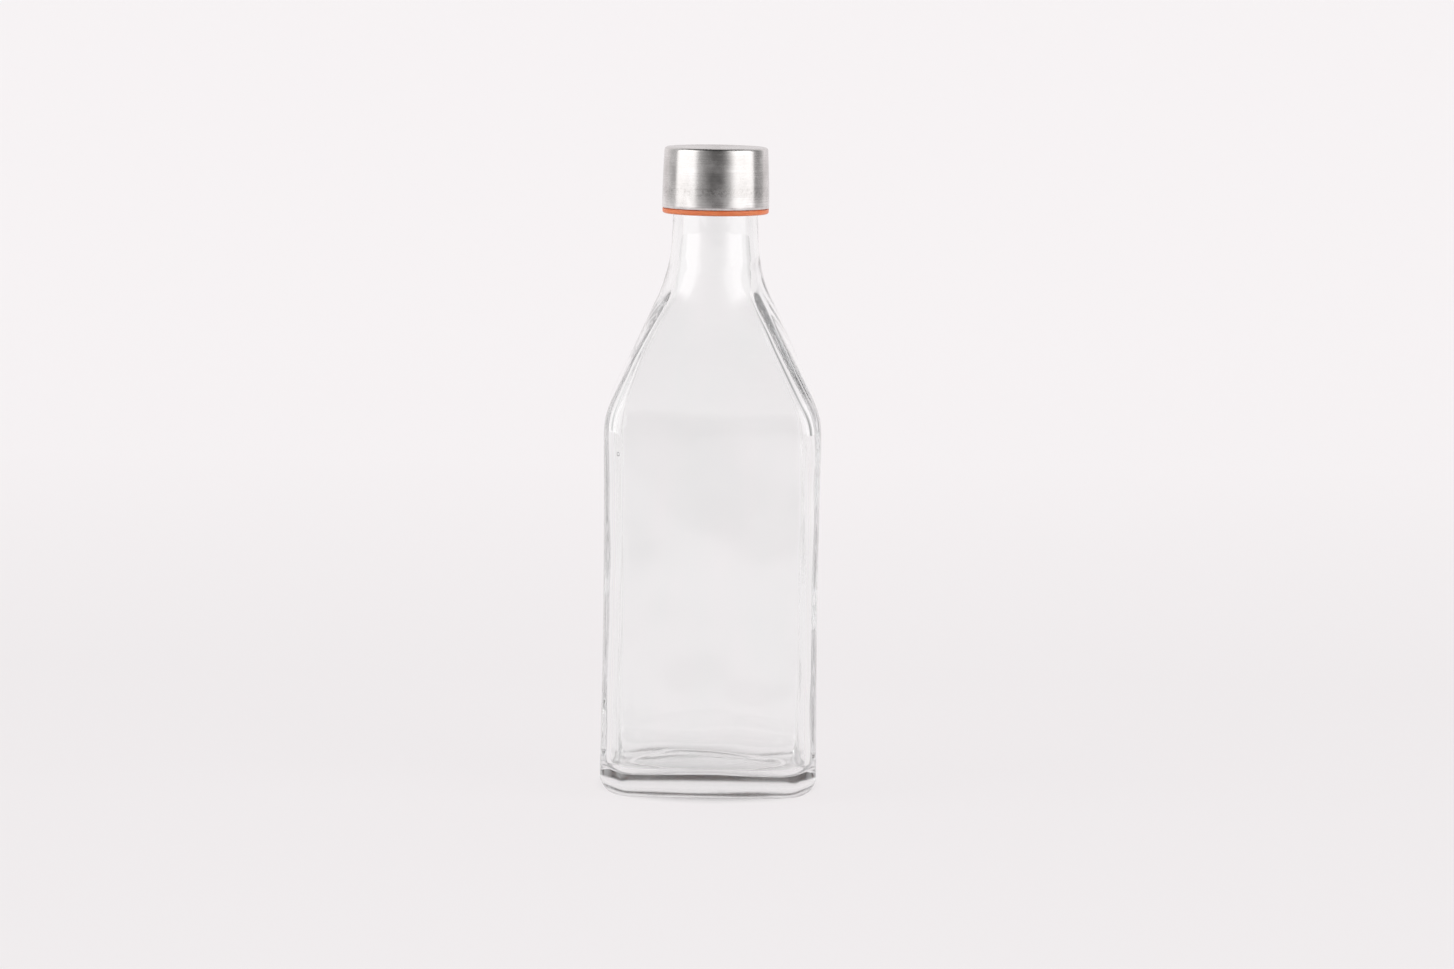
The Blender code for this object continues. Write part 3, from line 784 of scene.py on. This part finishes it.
links.new(path.outputs["Is Camera Ray"], direct.inputs[0])
links.new(path.outputs["Is Glossy Ray"], direct.inputs[1])
seen = nodes.new("ShaderNodeMath")
seen.operation = "MAXIMUM"
links.new(direct.outputs[0], seen.inputs[0])
links.new(path.outputs["Is Transmission Ray"], seen.inputs[1])
# The paper right under the bottle has less of its glow, so the shadow shows there through the glass
UNDER_RADIUS, FREE_RADIUS = 0.036, 0.047
UNDER_TONE, FREE_TONE = 0.6, 0.9
flat_place = nodes.new("ShaderNodeCombineXYZ")
links.new(axes.outputs["X"], flat_place.inputs["X"])
links.new(axes.outputs["Y"], flat_place.inputs["Y"])
distance = nodes.new("ShaderNodeVectorMath")
distance.operation = "LENGTH"
links.new(flat_place.outputs[0], distance.inputs[0])
clear = nodes.new("ShaderNodeMapRange")
clear.inputs["From Min"].default_value = UNDER_RADIUS
clear.inputs["From Max"].default_value = FREE_RADIUS
clear.inputs["To Min"].default_value = UNDER_TONE
clear.inputs["To Max"].default_value = FREE_TONE
links.new(distance.outputs["Value"], clear.inputs["Value"])
share = nodes.new("ShaderNodeMath")
share.operation = "MULTIPLY"
links.new(clear.outputs[0], share.inputs[1])
links.new(seen.outputs[0], share.inputs[0])
blend = nodes.new("ShaderNodeMixShader")
links.new(share.outputs[0], blend.inputs["Fac"])
links.new(lit.outputs[0], blend.inputs[1])
links.new(glow.outputs[0], blend.inputs[2])
links.new(blend.outputs[0], surface.inputs["Surface"])
sweep.data.materials.append(paper)

# The room: its walls light the bottle from all round, brightest where the softboxes stand
room = bpy.data.worlds.new("room")
bpy.context.scene.world = room
room.use_nodes = True
nodes, links = room.node_tree.nodes, room.node_tree.links
place = nodes.new("ShaderNodeTexCoord")
around = nodes.new("ShaderNodeTexGradient")
around.gradient_type = "RADIAL"
links.new(place.outputs["Generated"], around.inputs["Vector"])
walls = nodes.new("ShaderNodeValToRGB")
# Brightness of the room round the object, in halves of full white, by the angle round it in degrees: the
# camera's side is at 0, and the two softboxes are the runs of 1.0 on either side of it
ROOM_TONES = (
    (-90, 1.0), (-48, 1.0), (-41, 0.36), (-34, 0.25), (-20, 0.14), (-8, 0.08), (12, 0.08), (22, 0.2), (30, 0.4),
    (38, 0.75), (43, 1.0), (88, 1.0), (92, 0.16), (104, 0.15), (114, 0.2), (124, 0.3), (140, 0.47), (225, 0.47),
    (238, 0.38), (250, 0.28), (262, 0.26), (266, 1.0), (270, 1.0),
)
while len(walls.color_ramp.elements) < len(ROOM_TONES):
    walls.color_ramp.elements.new(0.5)
for element, (angle, level) in zip(walls.color_ramp.elements, ROOM_TONES):
    element.position = (angle + 90) / 360
    element.color = (level, level, level, 1)
links.new(around.outputs["Fac"], walls.inputs["Fac"])
axes = nodes.new("ShaderNodeSeparateXYZ")
links.new(place.outputs["Generated"], axes.inputs[0])
height = nodes.new("ShaderNodeValToRGB")
# Share of the walls' brightness by height: all of it up to the softboxes' tops, then the dark ceiling
for element, (rise, level) in zip(height.color_ramp.elements, ((0.70, 1.0), (0.80, 0.0))):
    element.position = rise
    element.color = (level, level, level, 1)
links.new(axes.outputs["Z"], height.inputs["Fac"])
CEILING = 0.03
mixed = nodes.new("ShaderNodeMix")
mixed.data_type = "RGBA"
mixed.inputs["A"].default_value = (CEILING, CEILING, CEILING, 1)
links.new(height.outputs["Color"], mixed.inputs["Factor"])
links.new(walls.outputs["Color"], mixed.inputs["B"])
backdrop = nodes["Background"]
backdrop.inputs["Strength"].default_value = 2.0
links.new(mixed.outputs["Result"], backdrop.inputs["Color"])

# The camera stands about two metres off with a long lens, a little above the bottle and a little tilted. It is
# placed by the point of the picture, in pixels, at which the middle of the bottle shows.
CAMERA_TURN = math.radians(0.3)
CAMERA_PITCH = math.radians(6.6)
CAMERA_ROLL = math.radians(0.82)
FOCAL_PX = 5000
PX_PER_M = 2447                     # at the bottle
IMAGE_WIDTH, IMAGE_HEIGHT = 1454, 969
SENSOR_MM = 36
AIM = Vector((0, 0, 0.131))
AIM_PX = (712.0, 467.9)
forward = Vector((
    math.sin(CAMERA_TURN) * math.cos(CAMERA_PITCH),
    math.cos(CAMERA_TURN) * math.cos(CAMERA_PITCH),
    -math.sin(CAMERA_PITCH),
))
right = Vector((math.cos(CAMERA_TURN), -math.sin(CAMERA_TURN), 0))
up = right.cross(forward)
rolled_right = math.cos(CAMERA_ROLL) * right + math.sin(CAMERA_ROLL) * up
rolled_up = -math.sin(CAMERA_ROLL) * right + math.cos(CAMERA_ROLL) * up
across = (AIM_PX[0] - IMAGE_WIDTH / 2) / FOCAL_PX
down = (AIM_PX[1] - IMAGE_HEIGHT / 2) / FOCAL_PX
ray = forward + across * rolled_right - down * rolled_up
camera = bpy.data.objects.new("camera", bpy.data.cameras.new("camera"))
bpy.context.scene.collection.objects.link(camera)
camera.data.sensor_width = SENSOR_MM
camera.data.lens = SENSOR_MM * FOCAL_PX / IMAGE_WIDTH
camera.data.clip_start = 0.05
camera.data.clip_end = 50
place = AIM - ray * (FOCAL_PX / PX_PER_M)
facing = Matrix((rolled_right, rolled_up, -forward)).transposed().to_4x4()
camera.matrix_world = Matrix.Translation(place) @ facing
bpy.context.scene.camera = camera
bpy.context.scene.view_settings.view_transform = "Standard"
# Light runs along inside the glass walls by many inner reflections before it comes out again
BOUNCES = 128
bpy.context.scene.cycles.max_bounces = BOUNCES
bpy.context.scene.cycles.transmission_bounces = BOUNCES
bpy.context.scene.cycles.glossy_bounces = BOUNCES
